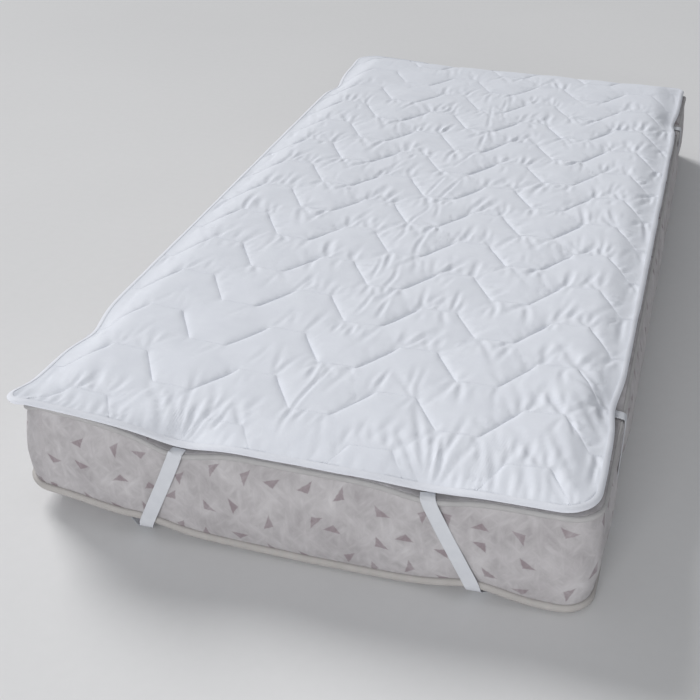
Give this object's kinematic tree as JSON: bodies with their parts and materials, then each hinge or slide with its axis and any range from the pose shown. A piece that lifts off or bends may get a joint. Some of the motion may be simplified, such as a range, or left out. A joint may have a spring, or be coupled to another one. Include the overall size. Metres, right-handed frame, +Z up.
{
  "type": "quilted mattress pad on mattress",
  "caption": "Quilted white mattress pad with a bound edge and elastic corner straps, lying on a plain mattress with taped edges.",
  "frame": {"origin": "middle of the mattress's underside, on the surface it lies on", "axes": "+X across the width, +Y along the length from the near short end to the far one, +Z up"},
  "size_m": [0.928, 2.028, 0.2059],
  "materials": {
    "pad_cloth": "soft brushed microfibre, matt",
    "binding_tape": "woven tape, matt",
    "strap_elastic": "ribbed elastic",
    "mattress_cloth": "woven ticking with a small printed motif",
    "grey_tape": "woven tape",
    "cream_tape": "woven tape"
  },
  "bodies": {
    "root": {"quilted_pad": "pad_cloth", "edge_binding": "binding_tape", "strap_near_left": "strap_elastic", "strap_near_right": "strap_elastic", "strap_far_right": "strap_elastic", "strap_far_left": "strap_elastic", "mattress_body": "mattress_cloth", "mattress_tape_top": "grey_tape", "mattress_tape_bottom": "cream_tape"}
  },
  "joints": []
}
